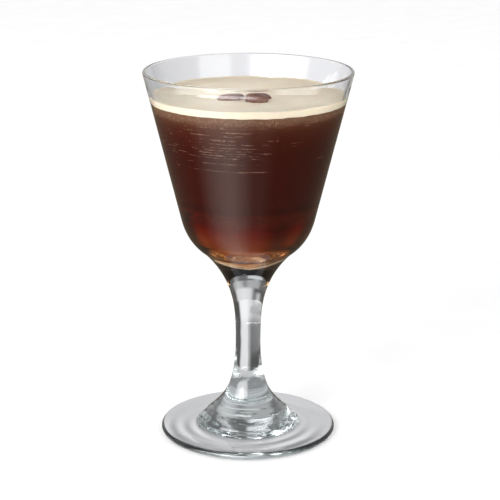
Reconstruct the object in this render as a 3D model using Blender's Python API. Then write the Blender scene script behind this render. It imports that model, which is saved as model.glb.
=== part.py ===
"""Espresso martini in its stemmed glass: glass, drink, foam and three coffee beans."""
import math

import bmesh
import bpy
from mathutils import Matrix, Vector

# Lengths in metres. The origin is the centre of the foot's underside, +Z is up and the drinker's
# side of the glass, where the two larger beans float, is -Y.

# Glass
RIM_HEIGHT = 0.1443          # table to the top of the rim
RIM_RADIUS = 0.0400          # outside of the rounded rim
RIM_BEAD = 0.00070           # radius of the fire-polished lip
WALL_SLOPE = 0.2470          # how much the bowl opens for each metre of height
WALL_STEP_IN = 0.00002       # the wall stands this far inside the lip
WALL_THICK_TOP = 0.00135     # wall just under the lip
WALL_THICK_LOW = 0.00200     # wall where the straight side ends
BOWL_BEND_HEIGHT = 0.0866    # the straight wall starts to round in here
BOWL_KNEE = (0.0172, 0.0732)  # the round bottom meets the stem's flare here (radius, height)
BOWL_KNEE_SLOPE = 1.45       # outward run of the round bottom just above that edge
INNER_FLOOR = 0.0715         # inside bottom of the bowl
# Inside of the bowl from its middle: a shallow cone, then a rounded corner into the wall (radius, height)
FLOOR_BEND = (0.0020, 0.0715)
FLOOR_CORNER = (0.0100, 0.0754)
CORNER_OUT = (0.0198, 0.0784)
CORNER_UP = (0.0223, 0.0802)
WAIST_RADIUS = 0.00490       # thinnest part of the stem
WAIST_HEIGHT = 0.0368
DOME_SHOULDER = (0.0158, 0.0077)  # where the stem's lower flare turns into the foot's dome
DOME_RADIUS = 0.0203         # edge of the dome on the foot
DOME_HEIGHT = 0.0030
FOOT_RADIUS = 0.0345
FOOT_EDGE = 0.0011           # radius of the foot's rounded edge
REST_RING = (0.0265, 0.0328)  # flat ring that the glass stands on
UNDER_HOLLOW = 0.0012        # depth of the shallow hollow under the foot
SEGMENTS = 64

# Drink and foam
DRINK_TOP = 0.1327
FOAM_TOP = 0.1352
FIT_GAP = 0.0003             # clearance between neighbouring solids
FOAM_WAVE = 0.00016          # height of the foam's gentle unevenness
FOAM_CLIMB = 0.00030         # how far the foam clings up the wall
FOAM_RINGS = 7

# Coffee beans: length, width, height, centre, then turns about the length, across it and upright
BEANS = {
    "bean_right": (0.0090, 0.0066, 0.0050, (0.0029, -0.0158, 0.13610), (8, 9, -4)),
    "bean_left": (0.0108, 0.0070, 0.0046, (-0.0066, -0.0117, 0.13630), (172, -3, 31)),
    "bean_back": (0.0096, 0.0066, 0.0042, (0.0039, -0.0084, 0.13565), (-6, 3, -14)),
}
BEAN_STATIONS = 14
BEAN_SIDES = 20
CREASE_DEPTH = 0.00055
CREASE_WIDTH = 0.00050


def bezier(points, steps):
    """Points on a Bezier curve of any degree, the first one left out."""
    out = []
    for i in range(1, steps + 1):
        t = i / steps
        work = [Vector(p) for p in points]
        while len(work) > 1:
            work = [a.lerp(b, t) for a, b in zip(work, work[1:])]
        out.append((work[0].x, work[0].y))
    return out


def arc(centre, radius, start, end, steps):
    """Points on an arc, angles in degrees, both ends included."""
    out = []
    for i in range(steps + 1):
        a = math.radians(start + (end - start) * i / steps)
        out.append((centre[0] + radius * math.cos(a), centre[1] + radius * math.sin(a)))
    return out


def outer_wall(z):
    return RIM_RADIUS - WALL_STEP_IN - (RIM_HEIGHT - RIM_BEAD - z) * WALL_SLOPE


def inner_wall(z):
    top = RIM_HEIGHT - RIM_BEAD
    share = (top - z) / (top - BOWL_BEND_HEIGHT)
    return outer_wall(z) - WALL_THICK_TOP - (WALL_THICK_LOW - WALL_THICK_TOP) * share


def inner_profile(gap, top, steps):
    """Inside of the bowl from its centre up to height top, moved in by gap."""
    low = BOWL_BEND_HEIGHT
    r_low = inner_wall(low)
    floor = INNER_FLOOR
    curve = [(0.0, floor)] + bezier([(0.0, floor), FLOOR_BEND, FLOOR_CORNER], 4)
    curve += bezier([FLOOR_CORNER, CORNER_OUT, CORNER_UP, (r_low, low)], steps)
    curve.append((inner_wall(top), top))
    if not gap:
        return curve
    moved = []
    for i, (r, z) in enumerate(curve):
        a = curve[max(i - 1, 0)]
        b = curve[min(i + 1, len(curve) - 1)]
        along = Vector((b[0] - a[0], b[1] - a[1])).normalized()
        moved.append((max(r - gap * along.y, 0.0), z + gap * along.x))
    moved[0] = (0.0, floor + gap)
    moved[-1] = (inner_wall(top) - gap, top)
    return moved


def glass_profile():
    """Closed outline of the glass, from the middle of the underside round to the inside bottom."""
    r0, r1 = REST_RING
    line = [(0.0, UNDER_HOLLOW), (0.45 * r0, 0.93 * UNDER_HOLLOW), (0.78 * r0, 0.55 * UNDER_HOLLOW),
            (0.94 * r0, 0.12 * UNDER_HOLLOW), (r0, 0.0), (r1, 0.0)]
    line += arc((FOOT_RADIUS - FOOT_EDGE, FOOT_EDGE), FOOT_EDGE, -60, 80, 5)
    line += [(0.5 * (FOOT_RADIUS + DOME_RADIUS), DOME_HEIGHT - 0.00035)]
    line += [(DOME_RADIUS + 0.0006, DOME_HEIGHT)]

    # dome, then the flare up to the waist
    sr, sz = DOME_SHOULDER
    line += bezier([line[-1], (DOME_RADIUS - 0.0012, DOME_HEIGHT + 0.0006),
                    (sr + 0.0027, sz - 0.0023), (sr, sz)], 6)
    line += bezier([(sr, sz), (sr - 0.0070, sz + 0.0061), (WAIST_RADIUS, 0.0190),
                    (WAIST_RADIUS, WAIST_HEIGHT)], 9)

    # upper flare: a cubic that leaves the waist upright
    kr, kz = BOWL_KNEE
    for i in range(1, 11):
        t = (i / 10) ** 0.8
        line.append((WAIST_RADIUS + (kr - WAIST_RADIUS) * t ** 3, WAIST_HEIGHT + (kz - WAIST_HEIGHT) * t))

    # round bottom of the bowl, tangent to the straight wall
    bend = (outer_wall(BOWL_BEND_HEIGHT), BOWL_BEND_HEIGHT)
    rise = (bend[0] - WALL_SLOPE * (bend[1] - kz) - kr) / (BOWL_KNEE_SLOPE - WALL_SLOPE)
    line += bezier([(kr, kz), (kr + BOWL_KNEE_SLOPE * rise, kz + rise), bend], 6)

    # wall, lip and inside
    line += arc((RIM_RADIUS - RIM_BEAD, RIM_HEIGHT - RIM_BEAD), RIM_BEAD, -14, 180, 7)
    inside = inner_profile(0.0, RIM_HEIGHT - 2.2 * RIM_BEAD, 8)
    line += list(reversed(inside))
    return line


def spin(profile):
    """Mesh of a profile turned about Z; points at radius 0 become poles."""
    mesh = bmesh.new()
    rings = []
    for r, z in profile:
        if r < 1e-7:
            rings.append([mesh.verts.new((0.0, 0.0, z))])
            continue
        ring = []
        for k in range(SEGMENTS):
            a = 2 * math.pi * k / SEGMENTS
            ring.append(mesh.verts.new((r * math.cos(a), r * math.sin(a), z)))
        rings.append(ring)
    for low, high in zip(rings, rings[1:]):
        for k in range(SEGMENTS):
            n = (k + 1) % SEGMENTS
            if len(low) == 1:
                mesh.faces.new((low[0], high[n], high[k]))
            elif len(high) == 1:
                mesh.faces.new((low[k], low[n], high[0]))
            else:
                mesh.faces.new((low[k], low[n], high[n], high[k]))
    bmesh.ops.recalc_face_normals(mesh, faces=mesh.faces)
    return mesh


def foam_height(x, y):
    """Top of the foam: soft lumps, a small dip at the back and a rise at the wall."""
    lumps = math.sin(190 * x + 0.7) * math.cos(150 * y - 0.4) + 0.6 * math.sin(310 * y + 1.9 + 90 * x)
    dip = math.exp(-((x - 0.0085) / 0.0050) ** 2 - ((y - 0.0360) / 0.0080) ** 2)
    edge = math.hypot(x, y) / inner_wall(FOAM_TOP)
    return FOAM_TOP + FOAM_WAVE * lumps - 0.00045 * dip + FOAM_CLIMB * edge ** 24


def foam_mesh():
    """Disc of foam between the drink and the air."""
    bottom = DRINK_TOP + FIT_GAP
    mesh = bmesh.new()
    top_centre = mesh.verts.new((0.0, 0.0, foam_height(0.0, 0.0)))
    low_centre = mesh.verts.new((0.0, 0.0, bottom))
    tops = []
    for i in range(1, FOAM_RINGS + 1):
        share = 1 - (1 - i / FOAM_RINGS) ** 1.25
        ring = []
        for k in range(SEGMENTS):
            a = 2 * math.pi * k / SEGMENTS
            reach = inner_wall(FOAM_TOP) - FIT_GAP
            x, y = share * reach * math.cos(a), share * reach * math.sin(a)
            ring.append(mesh.verts.new((x, y, foam_height(x, y))))
        tops.append(ring)
    low_r = inner_wall(bottom) - FIT_GAP
    low = []
    for k in range(SEGMENTS):
        a = 2 * math.pi * k / SEGMENTS
        low.append(mesh.verts.new((low_r * math.cos(a), low_r * math.sin(a), bottom)))
    for k in range(SEGMENTS):
        n = (k + 1) % SEGMENTS
        mesh.faces.new((top_centre, tops[0][k], tops[0][n]))
        for inner, outer in zip(tops, tops[1:]):
            mesh.faces.new((inner[k], outer[k], outer[n], inner[n]))
        mesh.faces.new((tops[-1][k], low[k], low[n], tops[-1][n]))
        mesh.faces.new((low_centre, low[n], low[k]))
    bmesh.ops.recalc_face_normals(mesh, faces=mesh.faces)
    return mesh


def bean_mesh(length, width, height, grow=0.0, crease=True):
    """Roasted bean along X: round back up, flatter belly with a crease below."""
    mesh = bmesh.new()
    half_l, half_w = length / 2 + grow, width / 2 + grow
    back, belly = 0.60 * height + grow, 0.40 * height + grow
    rings = []
    for i in range(1, BEAN_STATIONS):
        u = -math.cos(math.pi * i / BEAN_STATIONS)
        size = (1 - abs(u) ** 2.2) ** 0.5
        bend = 0.035 * width * math.sin(math.pi * u)
        ring = []
        for k in range(BEAN_SIDES):
            # sides crowd together at the belly, so that the crease has enough of them
            part = 2 * k / BEAN_SIDES - 1
            a = math.radians(-90 + 180 * math.copysign(abs(part) ** 1.5, part))
            c, s = math.cos(a), math.sin(a)
            y = half_w * size * math.copysign(abs(c) ** 0.92, c)
            if s > 0:
                z = back * size * s ** 0.95
            else:
                z = -belly * size * abs(s) ** 0.6
                if crease:
                    groove = math.exp(-((y - bend) / CREASE_WIDTH) ** 2)
                    z += CREASE_DEPTH * groove * (1 - u ** 6)
            ring.append(mesh.verts.new((half_l * u, y, z)))
        rings.append(ring)
    tips = [mesh.verts.new((-half_l, 0.0, 0.0)), mesh.verts.new((half_l, 0.0, 0.0))]
    for k in range(BEAN_SIDES):
        n = (k + 1) % BEAN_SIDES
        mesh.faces.new((tips[0], rings[0][n], rings[0][k]))
        mesh.faces.new((tips[1], rings[-1][k], rings[-1][n]))
        for a_ring, b_ring in zip(rings, rings[1:]):
            mesh.faces.new((a_ring[k], a_ring[n], b_ring[n], b_ring[k]))
    bmesh.ops.recalc_face_normals(mesh, faces=mesh.faces)
    return mesh


def place(mesh, centre, turns):
    """Turn about the bean's length, tilt it along its length, swing it about the upright, move it."""
    roll, tilt, swing = (math.radians(a) for a in turns)
    turn = Matrix.Rotation(swing, 4, "Z") @ Matrix.Rotation(tilt, 4, "Y") @ Matrix.Rotation(roll, 4, "X")
    mesh.transform(Matrix.Translation(centre) @ turn)


def add_object(name, mesh, material=None):
    data = bpy.data.meshes.new(name)
    bmesh.ops.triangulate(mesh, faces=[f for f in mesh.faces if len(f.verts) > 4])
    mesh.to_mesh(data)
    mesh.free()
    for face in data.polygons:
        face.use_smooth = True
    thing = bpy.data.objects.new(name, data)
    bpy.context.scene.collection.objects.link(thing)
    if material:
        data.materials.append(material)
    return thing


def add_material(name, colour, roughness, metallic=0.0):
    material = bpy.data.materials.new(name)
    material.use_nodes = True
    shader = material.node_tree.nodes["Principled BSDF"]
    shader.inputs["Base Color"].default_value = (*colour, 1.0)
    shader.inputs["Roughness"].default_value = roughness
    shader.inputs["Metallic"].default_value = metallic
    material.diffuse_color = (*colour, 1.0)
    return material


def cut(target, cutter):
    """Cut a hidden helper object out of the target."""
    cutter.hide_render = True
    cutter.display_type = "WIRE"
    change = target.modifiers.new("cut_" + cutter.name, "BOOLEAN")
    change.operation = "DIFFERENCE"
    change.solver = "EXACT"
    change.object = cutter


def main():
    for thing in list(bpy.data.objects):
        bpy.data.objects.remove(thing, do_unlink=True)

    glass = add_material("clear_glass", (0.86, 0.90, 0.89), 0.03)
    coffee = add_material("coffee_drink", (0.045, 0.012, 0.007), 0.10)
    froth = add_material("pale_foam", (0.74, 0.66, 0.52), 0.65)
    roast = add_material("roasted_bean", (0.085, 0.032, 0.017), 0.42)

    add_object("glass", spin(glass_profile()), glass)

    drink_line = inner_profile(FIT_GAP, DRINK_TOP, 8) + [(0.0, DRINK_TOP)]
    add_object("drink", spin(drink_line), coffee)

    foam = add_object("foam", foam_mesh(), froth)
    for name, (length, width, height, centre, turns) in BEANS.items():
        bean = bean_mesh(length, width, height)
        place(bean, centre, turns)
        add_object(name, bean, roast)
        hollow = bean_mesh(length, width, height, grow=FIT_GAP, crease=False)
        place(hollow, centre, turns)
        cut(foam, add_object("hollow_" + name, hollow))


main()
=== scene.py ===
import math

import bpy
import numpy as np
from mathutils import Matrix, Vector, noise


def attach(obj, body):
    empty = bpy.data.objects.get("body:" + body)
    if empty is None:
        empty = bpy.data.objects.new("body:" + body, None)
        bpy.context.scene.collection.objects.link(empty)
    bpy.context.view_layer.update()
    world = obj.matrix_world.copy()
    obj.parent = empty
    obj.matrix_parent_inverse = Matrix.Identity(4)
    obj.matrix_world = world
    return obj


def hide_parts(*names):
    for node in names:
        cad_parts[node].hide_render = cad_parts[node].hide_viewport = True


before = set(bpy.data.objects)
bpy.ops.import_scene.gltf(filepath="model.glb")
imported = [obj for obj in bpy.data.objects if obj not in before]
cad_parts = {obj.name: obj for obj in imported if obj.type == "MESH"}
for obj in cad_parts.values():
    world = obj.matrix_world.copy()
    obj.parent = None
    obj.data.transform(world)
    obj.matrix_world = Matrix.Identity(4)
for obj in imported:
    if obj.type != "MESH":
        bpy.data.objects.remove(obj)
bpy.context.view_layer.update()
print("frame loaded")


def hexToLinear(code):
    # sRGB hex to the linear values that Blender works in
    out = []
    for i in (0, 2, 4):
        c = int(code[i:i + 2], 16) / 255
        out.append(c / 12.92 if c <= 0.04045 else ((c + 0.055) / 1.055) ** 2.4)
    return (*out, 1.0)


def addNode(tree, kind, settings=None, links=None):
    # settings: socket name or number, or node property, to its value; links: socket to output socket
    node = tree.nodes.new(kind)
    for key, value in (settings or {}).items():
        if isinstance(key, int) or key in node.inputs:
            node.inputs[key].default_value = value
        else:
            setattr(node, key, value)
    for key, source in (links or {}).items():
        tree.links.new(source, node.inputs[key])
    return node


def newMaterial(name):
    material = bpy.data.materials.new(name)
    material.use_nodes = True
    tree = material.node_tree
    tree.nodes.clear()
    return material, tree


def setRamp(node, stops, soft=False):
    # stops: position from 0 to 1 and colour; soft rounds the bends between them
    ramp = node.color_ramp
    while len(ramp.elements) > 1:
        ramp.elements.remove(ramp.elements[-1])
    ramp.elements[0].position, ramp.elements[0].color = stops[0]
    for position, colour in stops[1:]:
        ramp.elements.new(position).color = colour
    ramp.interpolation = "CARDINAL" if soft else "LINEAR"


def meshObject(name, verts, faces, material, smooth=True):
    data = bpy.data.meshes.new(name)
    data.from_pydata([tuple(v) for v in verts], [], faces)
    data.update()
    data.polygons.foreach_set("use_smooth", [smooth] * len(data.polygons))
    data.materials.append(material)
    thing = bpy.data.objects.new(name, data)
    bpy.context.scene.collection.objects.link(thing)
    return thing


def curvePoints(points, steps):
    # Bezier curve of any degree, first point left out
    out = []
    for i in range(1, steps + 1):
        t = i / steps
        work = [np.array(p, float) for p in points]
        while len(work) > 1:
            work = [a * (1 - t) + b * t for a, b in zip(work, work[1:])]
        out.append(tuple(work[0]))
    return out


def arcPoints(centre, radius, start, end, steps):
    angles = np.radians(np.linspace(start, end, steps + 1))
    return [(centre[0] + radius * math.cos(a), centre[1] + radius * math.sin(a)) for a in angles]


def mix(a, b, share):
    return a + (b - a) * share


def ease(value, start, end):
    # 0 at start, 1 at end, soft at both
    t = min(max((value - start) / (end - start), 0.0), 1.0)
    return t * t * (3 - 2 * t)


def between(value, rise, fall):
    # 1 between two soft ends, 0 outside them
    return ease(value, *rise) * ease(value, *fall)


def lump(value, strength, middle, width):
    # a soft bump of this strength at the middle
    return strength * math.exp(-((value - middle) / width) ** 2)


def spinMesh(name, profile, around, material, shift=None):
    # turns a profile of (radius, height) about the upright axis; radius 0 makes a pole
    verts, rings = [], []
    for r, z in profile:
        if r < 1e-7:
            rings.append([len(verts)])
            verts.append(Vector((0.0, 0.0, z)))
            continue
        rings.append(list(range(len(verts), len(verts) + around)))
        for k in range(around):
            a = 2 * math.pi * k / around
            dr, dz = shift(a, r, z) if shift else (0.0, 0.0)
            verts.append(Vector(((r + dr) * math.cos(a), (r + dr) * math.sin(a), z + dz)))
    faces = []
    for low, high in zip(rings, rings[1:]):
        for k in range(around):
            n = (k + 1) % around
            if len(low) == 1:
                faces.append((low[0], high[n], high[k]))
            elif len(high) == 1:
                faces.append((low[k], low[n], high[0]))
            else:
                faces.append((low[k], low[n], high[n], high[k]))
    return meshObject(name, verts, faces, material)


# The glass: one profile turned about the upright axis, sizes in metres

bowl = {
    "rimHeight": 0.144295, "rimRadius": 0.03998, "lipRadius": 0.00070,
    "wallSlope": 0.2470, "wallStepIn": -0.00002, "wallTop": 0.00135, "wallLow": 0.00200,
    "bendHeight": 0.0866, "kneeRadius": 0.0172, "kneeHeight": 0.0732, "kneeSlope": 1.45,
    "innerFloor": 0.0715, "floorBend": (0.0020, 0.0715), "floorCorner": (0.0100, 0.0754),
    "cornerOut": (0.0198, 0.0784), "cornerUp": (0.0223, 0.0802),
    "lipBlend": 0.0003, "lipInside": 2.2,   # where the wall ends below the lip: metres, and lip radii
    "wetFrom": 0.066, "wetTo": 0.1331,   # heights between which the inside is wet
    "around": 192,
}
stem = {
    "waistRadius": 0.00490, "waistHeight": 0.0368, "waistPull": 0.0190,
    "shoulderRadius": 0.0158, "shoulderHeight": 0.0077, "shoulderPull": (0.0070, 0.0061),
}
foot = {
    "radius": 0.03448, "edge": 0.0011, "ringIn": 0.0265, "ringOut": 0.0328,
    "hollow": 0.0012, "hollowPull": (0.60, 0.85),
    "domeRadius": 0.0203, "domeHeight": 0.0030, "domeLip": 0.0006, "domeIn": 0.0012,
    "domePull": (0.0027, 0.0023),
}
mould = {
    # what pressing leaves: soft ripples all over, rings under the foot and steps round its dome
    "ripple": 0.00005, "rippleFrom": 0.0015, "rippleFull": 0.0055, "bowlFrom": 0.074, "onBowl": 0.35,
    "lipFrom": 0.1425,
    "step": 0.00010, "stepPitch": 0.0023, "stepLow": (0.0034, 0.0050), "stepHigh": (0.0135, 0.0100),
    "ring": 0.00007, "ringPitch": 0.0052, "ringBelow": 0.0013, "ringEdge": (0.025, 0.021),
    "swell": 0.000035, "swellPitch": 0.0047, "swellBelow": 0.0036,
    "swellIn": (0.0212, 0.023), "swellOut": (0.0325, 0.031),
}


def outerWall(z):
    top = bowl["rimHeight"] - bowl["lipRadius"]
    return bowl["rimRadius"] - bowl["wallStepIn"] - (top - z) * bowl["wallSlope"]


def innerWall(z):
    top = bowl["rimHeight"] - bowl["lipRadius"]
    share = (top - z) / (top - bowl["bendHeight"])
    return outerWall(z) - bowl["wallTop"] - (bowl["wallLow"] - bowl["wallTop"]) * share


def innerProfile(top, floorSteps, wallSteps, out=0.0):
    # inside of the bowl from the middle of its floor up to height top; out moves it into the wall
    low, floor = bowl["bendHeight"], bowl["innerFloor"]
    rLow = innerWall(low)
    curve = [(0.0, floor)]
    curve += curvePoints([curve[0], bowl["floorBend"], bowl["floorCorner"]], floorSteps // 2)
    curve += curvePoints([curve[-1], bowl["cornerOut"], bowl["cornerUp"], (rLow, low)], floorSteps)
    curve += [(innerWall(z), z) for z in np.linspace(low, top, wallSteps + 1)[1:]]
    if not out:
        return curve
    moved = []
    for i, (r, z) in enumerate(curve):
        a, b = curve[max(i - 1, 0)], curve[min(i + 1, len(curve) - 1)]
        dr, dz = b[0] - a[0], b[1] - a[1]
        size = math.hypot(dr, dz)
        moved.append((r + out * dz / size, z - out * dr / size))
    moved[0] = (0.0, floor - out)
    moved[-1] = (innerWall(top) + out, top)
    return moved


def glassProfile():
    # from the middle of the underside round the outside to the middle of the bowl's floor; the whole
    # numbers are steps along each curve
    r0, dip = foot["ringIn"], foot["hollow"]
    pull0, pull1 = foot["hollowPull"]
    line = [(0.0, dip)] + curvePoints([(0.0, dip), (pull0 * r0, dip), (pull1 * r0, 0.0), (r0, 0.0)], 24)
    line += [(foot["ringOut"], 0.0)]
    edge = foot["edge"]
    line += arcPoints((foot["radius"] - edge, edge), edge, -70, 82, 18)
    # the flat upper side of the foot, the dome on it and the sweep up to the stem's waist
    lip = foot["domeLip"]
    disc = (foot["domeRadius"] + lip, foot["domeHeight"])
    start = line[-1]
    line += [(mix(start[0], disc[0], t), mix(start[1], disc[1], t)) for t in np.linspace(0, 1, 16)[1:]]
    sr, sz = stem["shoulderRadius"], stem["shoulderHeight"]
    line += curvePoints([disc, (foot["domeRadius"] - foot["domeIn"], foot["domeHeight"] + lip),
                         (sr + foot["domePull"][0], sz - foot["domePull"][1]), (sr, sz)], 26)
    wr, wz = stem["waistRadius"], stem["waistHeight"]
    line += curvePoints([(sr, sz), (sr - stem["shoulderPull"][0], sz + stem["shoulderPull"][1]),
                         (wr, stem["waistPull"]), (wr, wz)], 50)
    kr, kz = bowl["kneeRadius"], bowl["kneeHeight"]
    for t in np.linspace(0, 1, 56)[1:]:
        line.append((wr + (kr - wr) * t ** 3, wz + (kz - wz) * t))
    bend = (outerWall(bowl["bendHeight"]), bowl["bendHeight"])
    slope = bowl["kneeSlope"]
    rise = (bend[0] - bowl["wallSlope"] * (bend[1] - kz) - kr) / (slope - bowl["wallSlope"])
    line += curvePoints([(kr, kz), (kr + slope * rise, kz + rise), bend], 24)
    top = bowl["rimHeight"] - bowl["lipRadius"]
    wallTop = top - bowl["lipBlend"]
    line += [(outerWall(z), z) for z in np.linspace(bowl["bendHeight"], wallTop, 24)[1:]]
    line += arcPoints((bowl["rimRadius"] - bowl["lipRadius"], top), bowl["lipRadius"], -14, 180, 22)
    innerTop = bowl["rimHeight"] - bowl["lipInside"] * bowl["lipRadius"]
    line += list(reversed(innerProfile(innerTop, 40, 16)))
    return line


def glassRipple(a, r, z):
    # how far a point moves outwards and upwards; the lip keeps its form, nothing goes below the floor.
    # The numbers in the noise and sine calls only spread the marks, mould sets how strong they are
    x, y = math.cos(a), math.sin(a)
    broad = noise.noise(Vector((x * 1.6, y * 1.6, z * 90)))
    fine = noise.noise(Vector((x * 4, y * 4, z * 240 + 5)))
    fade = (z - mould["rippleFrom"]) / (mould["rippleFull"] - mould["rippleFrom"])
    fade = min(max(fade, 0.0), 1.0) * (1.0 if z < mould["bowlFrom"] else mould["onBowl"])
    if z > mould["lipFrom"]:
        fade = 0.0
    outwards, upwards = mould["ripple"] * (broad + 0.5 * fine) * fade, 0.0
    if mould["stepLow"][0] < z < mould["stepHigh"][0]:
        steps = math.sin(2 * math.pi * z / mould["stepPitch"] + 0.9 * math.sin(a + 0.6))
        outwards += mould["step"] * steps * between(z, mould["stepLow"], mould["stepHigh"])
    if z < mould["ringBelow"] and r < mould["ringEdge"][0]:
        rings = math.sin(2 * math.pi * r / mould["ringPitch"] + 1.5 * math.sin(2 * a + 1))
        rings += 1.2 * noise.noise(Vector((x * r * 160, y * r * 160, 2)))
        upwards = mould["ring"] * rings * ease(r, *mould["ringEdge"])
    elif z < mould["swellBelow"] and mould["swellIn"][0] < r < mould["swellOut"][0]:
        swells = noise.noise(Vector((x * 2.2, y * 2.2, r * 330)))
        swells += 0.5 * math.sin(2 * math.pi * r / mould["swellPitch"] + 2 * a)
        upwards = mould["swell"] * swells * between(r, mould["swellIn"], mould["swellOut"])
    return outwards, max(upwards, -z)


def pressedSodaLimeGlass():
    # common drinking glass, pressed in a mould and fire-polished at the lip: clear and shiny, with a
    # faint sea green where the eye looks through a lot of it; where drink wets it, it mirrors nothing
    material, tree = newMaterial("pressed soda-lime glass")
    place = addNode(tree, "ShaderNodeTexCoord")
    marks = addNode(tree, "ShaderNodeTexNoise", {"Scale": 160.0, "Detail": 2.0, "Roughness": 0.4},
                    {"Vector": place.outputs["Object"]})   # mould marks about 6 mm across
    bump = addNode(tree, "ShaderNodeBump", {"Strength": 0.04, "Distance": 0.0003},
                   {"Height": marks.outputs["Fac"]})
    wet = addNode(tree, "ShaderNodeAttribute", {"attribute_name": "wet"})
    mirror = addNode(tree, "ShaderNodeMix",
                     {"data_type": "RGBA", 6: hexToLinear("ffffff"), 7: hexToLinear("000000")},
                     {0: wet.outputs["Fac"]})
    shader = addNode(tree, "ShaderNodeBsdfPrincipled",
                     {"Base Color": hexToLinear("ffffff"), "Roughness": 0.0, "IOR": 1.52,
                      "Transmission Weight": 1.0},
                     {"Normal": bump.outputs["Normal"], "Specular Tint": mirror.outputs[2]})
    tint = addNode(tree, "ShaderNodeVolumeAbsorption",
                   {"Color": (0.34, 0.76, 0.70, 1.0), "Density": 4.0})
    addNode(tree, "ShaderNodeOutputMaterial", None,
            {"Surface": shader.outputs[0], "Volume": tint.outputs[0]})
    return material


glass = spinMesh("cocktailGlass", glassProfile(), bowl["around"], pressedSodaLimeGlass(), glassRipple)
wetted = glass.data.attributes.new("wet", "FLOAT", "FACE")
for face in glass.data.polygons:
    # inside faces look towards the axis, or up from the bowl's floor
    centre, normal = face.center, face.normal
    inward = normal.x * centre.x + normal.y * centre.y < 0 or normal.z > 0.5
    filled = bowl["wetFrom"] < centre.z < bowl["wetTo"]
    wetted.data[face.index].value = 1.0 if inward and filled else 0.0
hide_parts("glass")
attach(glass, "root")
print("glass done")


# The drink: fills the bowl up into the foam

drink = {
    "top": 0.1332,       # ends inside the foam
    "intoWall": 0.00005,  # wets the glass, so no air gap shows
    "red": 40.0, "green": 84.0, "blue": 135.0,   # absorbed per metre
    "clearBelow": 0.0780, "density": 160.0, "drift": 0.004,
    # height, share of light that the fine solids turn back, linear colour
    "levels": [
        (0.0780, 0.00, (0.80, 0.45, 0.21)),
        (0.0840, 0.02, (1.0, 0.50, 0.28)),
        (0.0880, 0.04, (0.55, 0.070, 0.030)),
        (0.0925, 0.16, (0.22, 0.020, 0.0085)),
        (0.0965, 0.88, (0.058, 0.0032, 0.0016)),
        (0.1000, 0.98, (0.048, 0.0024, 0.0013)),
        (0.1060, 1.00, (0.044, 0.0018, 0.0010)),
        (0.1220, 1.00, (0.044, 0.0030, 0.0014)),
        (0.1270, 1.00, (0.056, 0.0070, 0.0030)),
        (0.1298, 1.00, (0.070, 0.0160, 0.0075)),
        (0.1318, 1.00, (0.100, 0.0360, 0.0190)),
        (0.1332, 1.00, (0.150, 0.0720, 0.0430)),
    ],
}


def shakenCoffeeLiqueur():
    # strained coffee and spirit: fine coffee solids turn a little light back, so it is near black with
    # a red-brown depth where it is thick, and clear amber at the bottom where it is thin
    material, tree = newMaterial("shaken coffee drink")
    place = addNode(tree, "ShaderNodeTexCoord")
    level = addNode(tree, "ShaderNodeSeparateXYZ", None, {0: place.outputs["Object"]})
    cloud = addNode(tree, "ShaderNodeTexNoise", {"Scale": 60.0, "Detail": 2.0},
                    {"Vector": place.outputs["Object"]})   # soft clouds of about 17 mm
    drift = addNode(tree, "ShaderNodeMath", {"operation": "MULTIPLY_ADD", 1: drink["drift"]},
                    {0: cloud.outputs["Fac"], 2: level.outputs["Z"]})
    share = addNode(tree, "ShaderNodeMapRange",
                    {"From Min": drink["clearBelow"], "From Max": drink["top"]},
                    {"Value": drift.outputs[0]})
    depth = addNode(tree, "ShaderNodeValToRGB", None, {"Fac": share.outputs[0]})
    clear = addNode(tree, "ShaderNodeValToRGB", None, {"Fac": share.outputs[0]})
    colours, clearness = [], []
    for z, haze, colour in drink["levels"]:
        position = (z - drink["clearBelow"]) / (drink["top"] - drink["clearBelow"])
        colours.append((position, (*colour, 1.0)))
        clearness.append((position, (1 - haze, 1 - haze, 1 - haze, 1.0)))
    setRamp(depth, colours, soft=True)
    setRamp(clear, clearness, soft=True)
    shader = addNode(tree, "ShaderNodeBsdfPrincipled",
                     {"Roughness": 0.0, "IOR": 1.345, "Specular Tint": hexToLinear("000000")},
                     {"Base Color": depth.outputs["Color"],
                      "Transmission Weight": clear.outputs["Color"]})
    density = drink["density"]
    tone = tuple(1 - drink[name] / density for name in ("red", "green", "blue"))
    tint = addNode(tree, "ShaderNodeVolumeAbsorption", {"Color": (*tone, 1.0), "Density": density})
    addNode(tree, "ShaderNodeOutputMaterial", None,
            {"Surface": shader.outputs[0], "Volume": tint.outputs[0]})
    return material


drinkLine = innerProfile(drink["top"], 40, 12, drink["intoWall"]) + [(0.0, drink["top"])]
coffee = spinMesh("coffeeDrink", drinkLine, bowl["around"], shakenCoffeeLiqueur())
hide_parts("drink")
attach(coffee, "root")
print("drink done")


# The beans: size and place in metres, turn in degrees about X, Y and Z

beans = {
    "bean_right": {"size": (0.0090, 0.0066, 0.0050), "turn": (8, 9, -4),
                   "at": (0.0029, -0.0158, 0.13610)},
    "bean_left": {"size": (0.0108, 0.0070, 0.0046), "turn": (172, -3, 31),
                  "at": (-0.0066, -0.0117, 0.13630)},
    "bean_back": {"size": (0.0096, 0.0066, 0.0042), "turn": (-6, 3, -14),
                  "at": (0.0039, -0.0084, 0.13565)},
}
beanForm = {
    "stations": 72, "sides": 96, "sideCrowding": 1.5,
    "creaseDepth": 0.00055, "creaseWidth": 0.00050, "creaseBend": 0.035, "creaseEnd": 6,
    "backShare": 0.60, "flatShare": 0.40,
    "endShape": 2.2, "sideShape": 0.92, "backShape": 0.95, "flatShape": 0.6,   # exponents of its form
    "wrinkle": 0.00006, "wrinkleScale": (350, 1500), "pitScale": 900,
}


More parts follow.
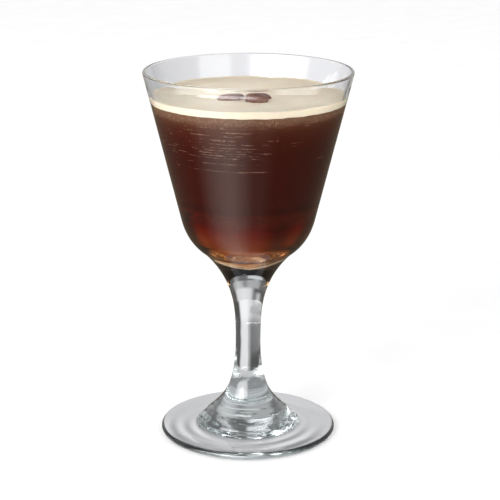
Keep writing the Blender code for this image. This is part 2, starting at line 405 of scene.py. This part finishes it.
def beanMesh(name, spec, material):
    # domed back up, flat side with its crease down
    form = beanForm
    length, width, height = spec["size"]
    verts, marks, faces = [], [], []
    stations, sides = form["stations"], form["sides"]
    for i in range(1, stations):
        u = -math.cos(math.pi * i / stations)
        size = (1 - abs(u) ** form["endShape"]) ** 0.5
        bend = form["creaseBend"] * width * math.sin(math.pi * u)
        for k in range(sides):
            part = 2 * k / sides - 1
            a = math.radians(-90 + 180 * math.copysign(abs(part) ** form["sideCrowding"], part))
            c, s = math.cos(a), math.sin(a)
            y = width / 2 * size * math.copysign(abs(c) ** form["sideShape"], c)
            mark = 0.0
            if s > 0:
                z = form["backShare"] * height * size * s ** form["backShape"]
            else:
                z = -form["flatShare"] * height * size * abs(s) ** form["flatShape"]
                mark = math.exp(-((y - bend) / form["creaseWidth"]) ** 2) * (1 - u ** form["creaseEnd"])
                z += form["creaseDepth"] * mark
            p = Vector((length / 2 * u, y, z))
            # fine lengthwise wrinkles of the roasted skin, cut into the plain form
            along, across = form["wrinkleScale"]
            skin = noise.noise(Vector((p.x * along + len(name), p.y * across, p.z * across)))
            pit = noise.noise(p * form["pitScale"])
            worn = 0.5 + 0.5 * skin + 0.35 * pit
            verts.append(p * (1 - form["wrinkle"] / (height / 2) * worn))
            marks.append(mark)
    first, last = len(verts), len(verts) + 1
    verts += [Vector((-length / 2, 0, 0)), Vector((length / 2, 0, 0))]
    marks += [0.0, 0.0]
    for k in range(sides):
        n = (k + 1) % sides
        faces.append((first, n, k))
        faces.append((last, (stations - 2) * sides + k, (stations - 2) * sides + n))
        for i in range(stations - 2):
            faces.append((i * sides + k, i * sides + n, (i + 1) * sides + n, (i + 1) * sides + k))
    thing = meshObject(name, verts, faces, material)
    layer = thing.data.attributes.new("crease", "FLOAT", "POINT")
    layer.data.foreach_set("value", marks)
    roll, tilt, swing = (math.radians(a) for a in spec["turn"])
    turn = Matrix.Rotation(swing, 4, "Z") @ Matrix.Rotation(tilt, 4, "Y")
    thing.matrix_world = Matrix.Translation(spec["at"]) @ turn @ Matrix.Rotation(roll, 4, "X")
    return thing


def darkRoastedBean():
    # arabica bean, drum roasted: brown skin with a dull oily sheen and paler chaff left in the crease
    material, tree = newMaterial("drum-roasted coffee bean")
    place = addNode(tree, "ShaderNodeTexCoord")
    patches = addNode(tree, "ShaderNodeTexNoise", {"Scale": 420.0, "Detail": 5.0, "Roughness": 0.6},
                      {"Vector": place.outputs["Object"]})   # patches of about 2 mm
    skin = addNode(tree, "ShaderNodeValToRGB", None, {"Fac": patches.outputs["Fac"]})
    setRamp(skin, [(0.30, hexToLinear("4a2a1f")), (0.55, hexToLinear("6a4234")),
                   (0.75, hexToLinear("85604f"))])
    chaff = addNode(tree, "ShaderNodeAttribute", {"attribute_name": "crease"})
    broken = addNode(tree, "ShaderNodeTexNoise", {"Scale": 1500.0, "Detail": 3.0},
                     {"Vector": place.outputs["Object"]})
    amount = addNode(tree, "ShaderNodeMath", {"operation": "MULTIPLY"},
                     {0: chaff.outputs["Fac"], 1: broken.outputs["Fac"]})
    spread = addNode(tree, "ShaderNodeMapRange", {"From Min": 0.25, "From Max": 0.62},
                     {"Value": amount.outputs[0]})
    colour = addNode(tree, "ShaderNodeMix", {"data_type": "RGBA", 7: hexToLinear("b08c6a")},
                     {0: spread.outputs[0], 6: skin.outputs["Color"]})
    grain = addNode(tree, "ShaderNodeTexNoise", {"Scale": 2600.0, "Detail": 4.0},
                    {"Vector": place.outputs["Object"]})   # pores of about 0.4 mm
    bump = addNode(tree, "ShaderNodeBump", {"Strength": 0.25, "Distance": 0.0001},
                   {"Height": grain.outputs["Fac"]})
    sheen = addNode(tree, "ShaderNodeMapRange", {"To Min": 0.34, "To Max": 0.55},
                    {"Value": patches.outputs["Fac"]})
    shader = addNode(tree, "ShaderNodeBsdfPrincipled", {"IOR": 1.47},
                     {"Base Color": colour.outputs[2], "Roughness": sheen.outputs[0],
                      "Normal": bump.outputs["Normal"]})
    addNode(tree, "ShaderNodeOutputMaterial", None, {"Surface": shader.outputs[0]})
    return material


roast = darkRoastedBean()
for node, spec in beans.items():
    piece = beanMesh(node + "_roasted", spec, roast)
    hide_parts(node)
    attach(piece, "root")
print("beans done")


# The foam: an uneven disc cut round the beans, finished against the wall

foam = {
    "top": 0.1352, "bottom": 0.1328, "highest": 0.1356, "intoWall": 0.00008,
    "wave": 0.00016, "climb": 0.00030, "beanClimb": 0.00028, "lowEdgeWave": 0.00022,
    "dipPlace": (0.0085, 0.0360), "dipSize": (0.0050, 0.0080), "dipDepth": 0.00045,
    "beanEdge": (0.97, 0.16),   # where it climbs most and how wide, in shares of the bean's half size
    # the pale share below: where the side's paler froth and its painted light begin, in shares of the
    # wall radius
    "rings": 150, "ringCrowding": 1.12, "around": 288, "sideRows": 8, "paleLitFrom": (0.93, 1.02),
    # bubbleSize is the smallest radius and how much more it can be
    "bubbles": 2600, "bubbleSize": (0.00022, 0.00045), "bubbleInset": 0.0006, "bubbleRise": 0.30,
    "pitShare": 0.3, "seed": 11,
}


def foamHeight(x, y):
    # waves 20 to 40 mm long, one shallow dip at the back, and a little climb at the wall
    lumps = np.sin(190 * x + 0.7) * np.cos(150 * y - 0.4) + 0.6 * np.sin(310 * y + 1.9 + 90 * x)
    dipX, dipY = foam["dipPlace"]
    sizeX, sizeY = foam["dipSize"]
    dip = np.exp(-((x - dipX) / sizeX) ** 2 - ((y - dipY) / sizeY) ** 2)
    edge = np.hypot(x, y) / innerWall(foam["top"])
    return foam["top"] + foam["wave"] * lumps - foam["dipDepth"] * dip + foam["climb"] * edge ** 24


def foamPiece(material):
    rng = np.random.default_rng(foam["seed"])
    rings, around = foam["rings"], foam["around"]
    reach = innerWall(foam["top"]) + foam["intoWall"]
    share = 1 - (1 - np.arange(1, rings + 1) / rings) ** foam["ringCrowding"]
    angle = 2 * np.pi * np.arange(around) / around
    x = (share[:, None] * reach * np.cos(angle)).ravel()
    y = (share[:, None] * reach * np.sin(angle)).ravel()
    z = foamHeight(x, y)
    # fine bubbles: low domes and a few open pits
    count = foam["bubbles"]
    radius = foam["bubbleSize"][0] + foam["bubbleSize"][1] * rng.random(count) ** 4
    spot = np.sqrt(rng.random(count)) * (reach - foam["bubbleInset"])
    spotAngle = rng.random(count) * 2 * np.pi
    bx, by = spot * np.cos(spotAngle), spot * np.sin(spotAngle)
    for r, cx, cy, pit in zip(radius, bx, by, rng.random(count) < foam["pitShare"]):
        near = np.nonzero((np.abs(x - cx) < r) & (np.abs(y - cy) < r))[0]
        if not len(near):
            continue
        d2 = ((x[near] - cx) ** 2 + (y[near] - cy) ** 2) / r ** 2
        dome = np.sqrt(np.clip(1 - d2, 0, 1)) * r * foam["bubbleRise"]
        z[near] += -dome if pit else dome
    # the foam creeps up the beans
    climbPlace, climbWidth = foam["beanEdge"]
    for spec in beans.values():
        length, width, _ = spec["size"]
        swing = math.radians(spec["turn"][2])
        dx, dy = x - spec["at"][0], y - spec["at"][1]
        along = (dx * math.cos(swing) + dy * math.sin(swing)) / (length / 2)
        across = (-dx * math.sin(swing) + dy * math.cos(swing)) / (width / 2)
        near = np.sqrt(along ** 2 + across ** 2)
        z += foam["beanClimb"] * np.exp(-((near - climbPlace) / climbWidth) ** 2)
    z = np.minimum(z, foam["highest"])
    verts = [(0.0, 0.0, float(foamHeight(0.0, 0.0)))] + list(zip(x.tolist(), y.tolist(), z.tolist()))
    faces = []
    for k in range(around):
        n = (k + 1) % around
        faces.append((0, 1 + k, 1 + n))
        for i in range(rings - 1):
            a, b = 1 + i * around, 1 + (i + 1) * around
            faces.append((a + k, b + k, b + n, a + n))
    # side, down to an uneven lower edge
    outer = 1 + (rings - 1) * around
    rows = foam["sideRows"]
    low = []
    for k in range(around):
        a = angle[k]
        n = noise.noise(Vector((math.cos(a) * 9, math.sin(a) * 9, 0)))
        n += 0.5 * noise.noise(Vector((math.cos(a) * 30, math.sin(a) * 30, 4)))
        low.append(foam["bottom"] + foam["lowEdgeWave"] * n)
    before = outer
    for j in range(1, rows + 1):
        base = len(verts)
        for k in range(around):
            top = verts[outer + k][2]
            h = top + (low[k] - top) * j / rows
            r = innerWall(h) + foam["intoWall"]
            verts.append((r * math.cos(angle[k]), r * math.sin(angle[k]), h))
        for k in range(around):
            n = (k + 1) % around
            faces.append((before + k, base + k, base + n, before + n))
        before = base
    verts.append((0.0, 0.0, foam["bottom"]))
    for k in range(around):
        faces.append((len(verts) - 1, before + (k + 1) % around, before + k))
    thing = meshObject("creamyFoam", verts, faces, material)
    # share of the paler side against the wall: real finer froth, and painted light as if lit from the
    # front
    pale = thing.data.attributes.new("paleLitSide", "FLOAT", "POINT")
    shares = [ease(math.hypot(x, y) / reach, *foam["paleLitFrom"]) for x, y, z in verts[:outer]]
    pale.data.foreach_set("value", shares + [1.0] * (len(verts) - outer))
    return thing


def shakenCoffeeFoam():
    # dense froth of coffee oils and air, shaken with ice: matt cream, a little browner in the hollows
    material, tree = newMaterial("shaken coffee foam")
    place = addNode(tree, "ShaderNodeTexCoord")
    cloud = addNode(tree, "ShaderNodeTexNoise", {"Scale": 70.0, "Detail": 4.0, "Roughness": 0.55},
                    {"Vector": place.outputs["Object"]})   # drifts of about 15 mm
    cream = addNode(tree, "ShaderNodeValToRGB", None, {"Fac": cloud.outputs["Fac"]})
    setRamp(cream, [(0.30, hexToLinear("cfc3ad")), (0.50, hexToLinear("d6cbb6")),
                    (0.72, hexToLinear("ddd4c1"))])
    cells = addNode(tree, "ShaderNodeTexVoronoi", {"Scale": 2600.0},
                    {"Vector": place.outputs["Object"]})
    fine = addNode(tree, "ShaderNodeBump", {"Strength": 0.22, "Distance": 0.00015, "invert": True},
                   {"Height": cells.outputs["Distance"]})   # bubbles of about 0.4 mm
    pores = addNode(tree, "ShaderNodeMapRange",
                    {"From Min": 0.0, "From Max": 0.5, "To Min": 0.0, "To Max": 0.10},
                    {"Value": cells.outputs["Distance"]})
    colour = addNode(tree, "ShaderNodeMix", {"data_type": "RGBA", 7: hexToLinear("b99a76")},
                     {0: pores.outputs[0], 6: cream.outputs["Color"]})
    # pressed wet against the glass the froth is finer and paler; the paler side is also painted light,
    # lighter as if the front light fell on it more than on the top
    wall = addNode(tree, "ShaderNodeAttribute", {"attribute_name": "paleLitSide"})
    whole = addNode(tree, "ShaderNodeMix", {"data_type": "RGBA", 7: hexToLinear("f7e9d2")},
                    {0: wall.outputs["Fac"], 6: colour.outputs[2]})
    shader = addNode(tree, "ShaderNodeBsdfPrincipled",
                     {"Roughness": 0.62, "IOR": 1.36, "Subsurface Weight": 0.25,
                      "Subsurface Scale": 0.0006},
                     {"Base Color": whole.outputs[2], "Normal": fine.outputs["Normal"]})
    addNode(tree, "ShaderNodeOutputMaterial", None, {"Surface": shader.outputs[0]})
    return material


froth = foamPiece(shakenCoffeeFoam())
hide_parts("foam")
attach(froth, "root")
print("foam done")


# Bubbles and froth against the wall, in the drink

bubbles = {
    # each pair is the smallest value and how much more it can be
    "seed": 5, "cap": 0.00004,
    "frothCount": 3600, "frothTop": 0.0001, "frothDepth": 0.0034, "frothSize": (0.00010, 0.00022),
    "rows": [0.1290, 0.1274, 0.1260, 0.1243, 0.1228, 0.1213,
             0.1203, 0.1193, 0.1183, 0.1173, 0.1150, 0.1121],
    "dashes": 22, "dashSize": (0.00007, 0.00009), "dashLength": (2, 13),
    "dashStep": 0.0085, "dashStepShare": (0.7, 0.6), "rowDrift": 0.00010, "beadDrift": 0.00003,
    "frontShare": 0.85, "frontMiddle": -1.85, "frontSpread": 0.28,
    "loose": 260, "looseSize": (0.00006, 0.00008), "looseHeight": (0.084, 0.045),
}


def beadMesh(name, spots, material):
    # one small closed ball for each (position, radius), all in one mesh
    t = (1 + 5 ** 0.5) / 2
    ball = np.array([(-1, t, 0), (1, t, 0), (-1, -t, 0), (1, -t, 0), (0, -1, t), (0, 1, t),
                     (0, -1, -t), (0, 1, -t), (t, 0, -1), (t, 0, 1), (-t, 0, -1), (-t, 0, 1)], float)
    ball /= np.linalg.norm(ball[0])
    sides = [(0, 11, 5), (0, 5, 1), (0, 1, 7), (0, 7, 10), (0, 10, 11), (1, 5, 9), (5, 11, 4),
             (11, 10, 2), (10, 7, 6), (7, 1, 8), (3, 9, 4), (3, 4, 2), (3, 2, 6), (3, 6, 8),
             (3, 8, 9), (4, 9, 5), (2, 4, 11), (6, 2, 10), (8, 6, 7), (9, 8, 1)]
    verts, faces = [], []
    for centre, radius in spots:
        base = len(verts)
        verts += (ball * radius + np.array(centre)).tolist()
        faces += [(a + base, b + base, c + base) for a, b, c in sides]
    return meshObject(name, verts, faces, material)


def wallSpot(angle, z, radius):
    # a bubble pressed against the wall: only its cap shows in front of the drink
    r = innerWall(z) + drink["intoWall"] + bubbles["cap"] - radius
    return (r * math.cos(angle), r * math.sin(angle), z)


def trappedAir():
    # microfoam bubbles held against the wall: tan, soft and a little shiny
    material, tree = newMaterial("trapped air bubble")
    place = addNode(tree, "ShaderNodeTexCoord")
    vary = addNode(tree, "ShaderNodeTexNoise", {"Scale": 600.0, "Detail": 1.0},
                   {"Vector": place.outputs["Object"]})   # from bubble to bubble
    tan = addNode(tree, "ShaderNodeValToRGB", None, {"Fac": vary.outputs["Fac"]})
    setRamp(tan, [(0.35, hexToLinear("a47a5e")), (0.65, hexToLinear("e0bfa0"))])
    shader = addNode(tree, "ShaderNodeBsdfPrincipled", {"Roughness": 0.35, "IOR": 1.33},
                     {"Base Color": tan.outputs["Color"]})
    addNode(tree, "ShaderNodeOutputMaterial", None, {"Surface": shader.outputs[0]})
    return material


rng = np.random.default_rng(bubbles["seed"])


def randomValue(limits, rarity=1):
    # limits: smallest value and how much more; rarity above 1 makes high values rarer
    return limits[0] + limits[1] * rng.random() ** rarity


air = trappedAir()
spots = []
for _ in range(bubbles["frothCount"]):
    drop = randomValue((0.0, bubbles["frothDepth"]), 1.6)
    radius = randomValue(bubbles["frothSize"], 2)
    height = foam["bottom"] + bubbles["frothTop"] - drop
    spots.append((wallSpot(rng.random() * 2 * math.pi, height, radius), radius))
frothBand = beadMesh("frothBand", spots, air)
spots = []
for z in bubbles["rows"]:
    # short dashes of bubbles in a line, most of them at the front of the glass, a little to the left
    for _ in range(bubbles["dashes"]):
        if rng.random() < bubbles["frontShare"]:
            start = bubbles["frontMiddle"] + bubbles["frontSpread"] * rng.normal()
        else:
            start = rng.random() * 2 * math.pi
        level = z + bubbles["rowDrift"] * rng.normal()
        for step in range(int(randomValue(bubbles["dashLength"], 2))):
            angle = start + step * bubbles["dashStep"] * randomValue(bubbles["dashStepShare"])
            radius = randomValue(bubbles["dashSize"], 2)
            height = level + bubbles["beadDrift"] * rng.normal()
            spots.append((wallSpot(angle, height, radius), radius))
for _ in range(bubbles["loose"]):
    radius = randomValue(bubbles["looseSize"])
    angle = rng.random() * 2 * math.pi
    spots.append((wallSpot(angle, randomValue(bubbles["looseHeight"]), radius), radius))
bubbleRows = beadMesh("bubbleRows", spots, air)
for piece in (frothBand, bubbleRows):
    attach(piece, "root")
print("bubbles done")


# The studio: paper floor, white sky, a softbox, and cards that only mirrored or only bent rays meet.
# Azimuths are in degrees from straight behind, clockwise seen from above. A pair is the start and the
# end of a change, three values are the strength, middle and width of a soft patch, and tones are linear.

studio = {
    "floorSize": 30.0, "floorHeight": -0.0001, "skyStrength": 1.02, "bounces": 20, "mirrorBounces": 8,
}


def whitePaper():
    # seamless studio paper, matt, with the faintest fibre mottling
    material, tree = newMaterial("matt white studio paper")
    place = addNode(tree, "ShaderNodeTexCoord")
    fibre = addNode(tree, "ShaderNodeTexNoise", {"Scale": 40.0, "Detail": 3.0},
                    {"Vector": place.outputs["Object"]})   # mottling of about 25 mm
    tone = addNode(tree, "ShaderNodeValToRGB", None, {"Fac": fibre.outputs["Fac"]})
    setRamp(tone, [(0.3, hexToLinear("f8f8f8")), (0.7, hexToLinear("fbfbfb"))])
    shader = addNode(tree, "ShaderNodeBsdfPrincipled", {"Roughness": 0.9, "Specular IOR Level": 0.1},
                     {"Base Color": tone.outputs["Color"]})
    addNode(tree, "ShaderNodeOutputMaterial", None, {"Surface": shader.outputs[0]})
    return material


board = {
    "tone": 1.3, "right": (168, 206), "left": (262, 207),
    "spill": 0.14, "spillRight": (140, 165), "spillLeft": (195, 180),
    "middle": 178, "bend": (2.3e-5, 1.3e-9), "farEnd": (0.24, 0.232),
    "grey": 1.0, "greyRight": (176, 188), "greyLeft": (240, 226), "greyFrom": (0.2120, 0.2170),
    "white": 8.0, "whiteRight": (163, 184), "whiteLeft": (246, 230), "whiteFrom": (0.2178, 0.2192),
}


def lyingBoard(azimuth, radius):
    # a bright board on the floor to the front left, with a window's light on its far end
    turn = azimuth % 360
    paper = between(turn, board["right"], board["left"])
    paper += board["spill"] * between(turn, board["spillRight"], board["spillLeft"])
    # the far end follows a curve that the bowl mirrors as a level line below the rim
    swing = turn - board["middle"]
    reach = radius / (1 + board["bend"][0] * swing ** 2 + board["bend"][1] * swing ** 4)
    grey = board["grey"] * between(turn, board["greyRight"], board["greyLeft"])
    white = board["white"] * between(turn, board["whiteRight"], board["whiteLeft"])
    light = grey * ease(reach, *board["greyFrom"]) + white * ease(reach, *board["whiteFrom"])
    return board["tone"] * paper + ease(reach, *board["farEnd"]) * light


mirrored = {
    "floor": (0.17, 0.145, 0.105), "boardTint": (1.10, 1.0, 0.90),
    "wallFront": 0.30, "wallBack": 0.80, "wallTurn": (95, 150), "wallBlue": 1.01,
    "window": 9.0, "windowMiddle": 218, "windowSides": (44, 20),
    "windowLow": (0.16, 0.30), "windowHigh": (1.05, 0.85),
    "roof": 0.15, "roofFrom": (1.15, 1.35),
}


def mirroredFloor(azimuth, radius, height):
    # what the bowl mirrors: a dim warm floor and the board
    light = lyingBoard(azimuth, radius)
    return tuple(dim + share * light for dim, share in zip(mirrored["floor"], mirrored["boardTint"]))


def mirroredWall(azimuth, radius, height):
    # grey all round, with a window to the front left and a darker roof
    turn = azimuth % 360
    back = ease(abs(turn - 180), *mirrored["wallTurn"])
    glow = mix(mirrored["wallFront"], mirrored["wallBack"], back)
    window = mirrored["window"] * ease(abs(turn - mirrored["windowMiddle"]), *mirrored["windowSides"])
    glow += window * between(height, mirrored["windowLow"], mirrored["windowHigh"])
    glow = mix(glow, mirrored["roof"], ease(height, *mirrored["roofFrom"]))
    return (glow, glow, glow * mirrored["wallBlue"])


seenFloor = {
    "far": (0.12, 0.23), "dark": 0.07, "blue": 1.03,
    "lit": (0.76, 0.92), "litEnd": (21, 32),
    "shadeFar": 0.16, "shadeChange": (0.05, 0.10), "shadeRing": (-0.04, 0.13, 0.015),
    "middle": 0.34, "middleSides": (11, 0),
    "leftFar": 0.90, "leftFall": 0.028, "leftLeast": 0.50,
    "grey": 0.42, "greyNear": (0.22, 0.27), "greyFar": (0.42, 0.36), "greySides": (3, 12),
    "patch": (0.45, -26, 9), "patchFrom": (0.9, 1.3),
    "close": 0.50, "closeEnd": (0.040, 0.055), "closeSides": (60, 40),
    "front": 0.35, "frontFrom": (80, 110),
}
# painted light under the foot: the tone and the rings of light and shade on the floor card there
underFoot = {
    "tone": 0.57, "end": (0.034, 0.037), "middle": 0.28, "middleEnd": (0.016, 0.022),
    "ringRadius": 0.0270, "ringWobble": 0.0006, "ringPitch": 0.0056,
    "depthBack": 0.02, "depthFront": 0.30, "depthTurn": (70, 118),
}


def floorBehindGlass(azimuth, radius, height):
    # what shows through stem and foot: a lit strip straight behind, darker to both sides
    look, side = seenFloor, abs(azimuth)
    far = ease(radius, *look["far"])
    if azimuth > 0:
        strip = mix(mix(*look["lit"], far), look["dark"], ease(azimuth, *look["litEnd"]))
    else:
        near = mix(look["dark"], look["shadeFar"], ease(radius, *look["shadeChange"]))
        near += lump(radius, *look["shadeRing"]) + look["middle"] * ease(side, *look["middleSides"])
        strip = mix(near, max(look["leftLeast"], look["leftFar"] - look["leftFall"] * side), far)
        grey = between(radius, look["greyNear"], look["greyFar"]) * ease(side, *look["greySides"])
        strip = mix(strip, look["grey"], grey)
    strip += lump(azimuth, *look["patch"]) * ease(radius, *look["patchFrom"])
    away = max(ease(radius, *look["closeEnd"]), ease(side, *look["closeSides"]))
    strip = mix(look["close"], strip, away)
    front = look["front"] + lyingBoard(azimuth, radius)
    tone = mix(strip, front, ease(side, *look["frontFrom"]))
    # under the foot: painted light and shade, rings like those the pressed glass throws, strongest
    # towards the front
    look, turn = underFoot, math.radians(azimuth)
    place = radius - look["ringRadius"] - look["ringWobble"] * math.sin(2 * turn)
    depth = mix(look["depthBack"], look["depthFront"], ease(side, *look["depthTurn"]))
    depth *= 0.5 + 0.5 * math.sin(3 * turn + 0.4)
    under = look["tone"] + depth * math.cos(2 * math.pi * place / look["ringPitch"])
    under = mix(look["middle"], under, ease(radius, *look["middleEnd"]))
    tone = mix(under, tone, ease(radius, *look["end"]))
    return (tone, tone, tone * seenFloor["blue"])


seenWall = {
    # heights here are in degrees above the floor
    "flag": 0.10, "strip": 0.76, "stripLeft": (-16, -2), "stripRight": (36, 25),
    "patch": (0.45, -26, 9), "patchTop": (9, 5),
    "middle": 0.42, "middleFrom": (10, 14), "middleDip": (-0.16, 6, 4), "middlePatch": (0.16, 20, 7),
    "middleLeft": 0.35, "middleLeftFrom": (-18, -30), "middleRight": 0.3, "middleRightTo": (38, 30),
    "band": 0.12, "bandFrom": (24.5, 26.5), "bandRight": (0.34, 23, 5), "bandLeft": (0.34, -15, 8),
    "high": 0.15, "highFrom": (28.5, 31), "highRight": (0.28, 24, 6),
    "highLeft": 0.60, "highLeftIn": (4, -2), "highLeftOut": (-34, -24),
    "front": 0.14, "frontTurn": (75, 115), "frontRight": (0.8, 140, 12),
    "frontLeft": 1.5, "frontLeftMiddle": 222, "frontLeftSides": (38, 28), "frontLeftFrom": (5, 9),
    "roof": 0.30, "roofFrom": (46, 56), "tint": (1.0, 0.995, 1.02),
}


def wallBehindGlass(azimuth, radius, height):
    # low down the lit strip between dark flags, higher up soft patches of grey
    look, side, turn = seenWall, abs(azimuth), azimuth % 360
    rise = math.degrees(math.atan2(height, radius))
    low = mix(look["flag"], look["strip"], between(azimuth, look["stripLeft"], look["stripRight"]))
    low += lump(azimuth, *look["patch"]) * ease(rise, *look["patchTop"])
    middle = look["middle"] + lump(azimuth, *look["middleDip"]) + lump(azimuth, *look["middlePatch"])
    middle *= mix(1, look["middleLeft"], ease(azimuth, *look["middleLeftFrom"]))
    middle *= mix(look["middleRight"], 1, ease(azimuth, *look["middleRightTo"]))
    band = look["band"] + lump(azimuth, *look["bandRight"]) + lump(azimuth, *look["bandLeft"])
    high = look["high"] + lump(azimuth, *look["highRight"])
    high += look["highLeft"] * between(azimuth, look["highLeftIn"], look["highLeftOut"])
    back = mix(low, middle, ease(rise, *look["middleFrom"]))
    back = mix(back, band, ease(rise, *look["bandFrom"]))
    back = mix(back, high, ease(rise, *look["highFrom"]))
    left = look["frontLeft"] * ease(abs(turn - look["frontLeftMiddle"]), *look["frontLeftSides"])
    front = look["front"] + left * ease(rise, *look["frontLeftFrom"]) + lump(turn, *look["frontRight"])
    tone = mix(back, front, ease(side, *look["frontTurn"]))
    tone = mix(tone, look["roof"], ease(rise, *look["roofFrom"]))
    return tuple(tone * share for share in look["tint"])


cards = {
    "around": 240, "wallRadius": 1.6, "wallStep": 2,
    "floorHeight": 0.0006, "underHeight": -0.00005, "underStep": 0.001, "underCount": 40,
    "nearRadii": (0.0352, 0.040, 0.045, 0.06, 0.08, 0.11, 0.14, 0.17, 0.20),
    "fineRadii": (0.210, 0.270, 0.0006),   # from, to and step, for the board's far end
    "farRadii": (0.28, 0.35, 0.45, 0.6, 0.8, 1.1, 1.6),
    # fill cards: two near arcs, given by middle azimuth, half width and tone
    "fillRadius": 0.10, "fillHeights": (0.100, 0.205), "fillEdgeTone": 0.6, "fillEven": 0.6,
    "leftFill": (-138, 40, 4.8), "rightFill": (132, 28, 4.2),
}


def aside(azimuth, middle):
    # degrees from the middle azimuth, to either side
    return abs((azimuth - middle + 180) % 360 - 180)


def fillLight(middle, width, strength):
    # tone of a fill card: even, fading out towards its two ends
    def paint(azimuth, radius, height):
        share = ease(aside(azimuth, middle), width, cards["fillEven"] * width)
        glow = mix(cards["fillEdgeTone"], strength, share)
        return (glow, glow, glow)
    return paint


def roundCard(name, rows, paint, rays, middle=0, width=180):
    # a surface of rings about the glass that only mirrored or only bent rays meet; rows are (radius,
    # height), paint gives the brightness, and middle and half width make it an arc
    around = cards["around"]
    verts, colours, faces = [], [], []
    for radius, height in rows:
        for k in range(around):
            azimuth = -180 + 360 * k / around
            a = math.radians(azimuth)
            verts.append((radius * math.sin(a), radius * math.cos(a), height))
            colours += [*paint(azimuth, radius, height), 1.0]
    for i in range(len(rows) - 1):
        low, high = i * around, (i + 1) * around
        for k in range(around):
            n = (k + 1) % around
            if aside(-180 + 360 * (k + 0.5) / around, middle) < width:
                faces.append((low + k, low + n, high + n, high + k))
    material, tree = newMaterial(name + "Board")
    tone = addNode(tree, "ShaderNodeAttribute", {"attribute_name": "tone"})
    glow = addNode(tree, "ShaderNodeEmission", None, {"Color": tone.outputs["Color"]})
    addNode(tree, "ShaderNodeOutputMaterial", None, {"Surface": glow.outputs[0]})
    card = meshObject(name, verts, faces, material)
    card.data.attributes.new("tone", "FLOAT_COLOR", "POINT").data.foreach_set("color", colours)
    card.visible_camera = card.visible_diffuse = False
    card.visible_shadow = card.visible_volume_scatter = False
    card.visible_glossy = rays == "mirrored"
    card.visible_transmission = rays == "bent"


keyLight = {"location": (-0.60, -0.80, 0.60), "aim": (0, 0, 0.12), "size": (0.5, 0.5), "power": 5.0}


def softbox(name, location, aim, size, power):
    # a square of even light that the camera doesn't see
    light = bpy.data.lights.new(name, "AREA")
    light.shape = "RECTANGLE"
    light.size, light.size_y = size
    light.energy = power
    lamp = bpy.data.objects.new(name, light)
    lamp.location = location
    lamp.rotation_euler = (Vector(aim) - Vector(location)).to_track_quat("-Z", "Y").to_euler()
    lamp.visible_camera = False
    bpy.context.scene.collection.objects.link(lamp)


half = studio["floorSize"] / 2
corners = [(x * half, y * half, studio["floorHeight"]) for x, y in ((-1, -1), (1, -1), (1, 1), (-1, 1))]
floor = meshObject("paperFloor", corners, [(0, 1, 2, 3)], whitePaper())

world = bpy.data.worlds.new("studio")
bpy.context.scene.world = world
world.use_nodes = True
world.node_tree.nodes["Background"].inputs["Color"].default_value = (1.0, 1.0, 1.0, 1.0)
world.node_tree.nodes["Background"].inputs["Strength"].default_value = studio["skyStrength"]

wallRows = []
for degrees in range(0, 90, cards["wallStep"]):
    rise = math.radians(degrees)
    wallRows.append((cards["wallRadius"] * math.cos(rise), cards["wallRadius"] * math.sin(rise)))
fineRadii = np.arange(*cards["fineRadii"]).tolist()
floorRadii = [*cards["nearRadii"], *fineRadii, *cards["farRadii"]]
underRadii = [cards["underStep"] * i for i in range(1, cards["underCount"])] + floorRadii[1:]
nearRows = [(radius, cards["floorHeight"]) for radius in floorRadii]
underRows = [(radius, cards["underHeight"]) for radius in underRadii]
fillRows = [(cards["fillRadius"], z) for z in cards["fillHeights"]]
roundCard("mirroredFloorCard", nearRows, mirroredFloor, "mirrored")
roundCard("mirroredWallCard", wallRows, mirroredWall, "mirrored")
roundCard("seenFloorCard", underRows, floorBehindGlass, "bent")
roundCard("seenWallCard", wallRows, wallBehindGlass, "bent")
roundCard("leftFillCard", fillRows, fillLight(*cards["leftFill"]), "bent", *cards["leftFill"][:2])
roundCard("rightFillCard", fillRows, fillLight(*cards["rightFill"]), "bent", *cards["rightFill"][:2])

softbox("keySoftbox", keyLight["location"], keyLight["aim"], keyLight["size"], keyLight["power"])

view = {
    "lens": 116.6, "sensor": 36.0, "clipNear": 0.01, "clipFar": 100.0,
    "distance": 0.605, "height": 0.2496, "pitch": 16.224, "side": 0.0007, "roll": 0.10,
}
camera = bpy.data.cameras.new("camera")
camera.lens = view["lens"]
camera.sensor_width = view["sensor"]
camera.clip_start, camera.clip_end = view["clipNear"], view["clipFar"]
shot = bpy.data.objects.new("camera", camera)
stand = Matrix.Translation((view["side"], -view["distance"], view["height"]))
tilt = Matrix.Rotation(math.radians(90 - view["pitch"]), 4, "X")
shot.matrix_world = stand @ tilt @ Matrix.Rotation(math.radians(view["roll"]), 4, "Z")
bpy.context.scene.collection.objects.link(shot)
bpy.context.scene.camera = shot
bpy.context.scene.view_settings.view_transform = "Standard"
bpy.context.scene.cycles.max_bounces = studio["bounces"]
bpy.context.scene.cycles.transmission_bounces = studio["bounces"]
bpy.context.scene.cycles.glossy_bounces = studio["mirrorBounces"]
print("studio done")
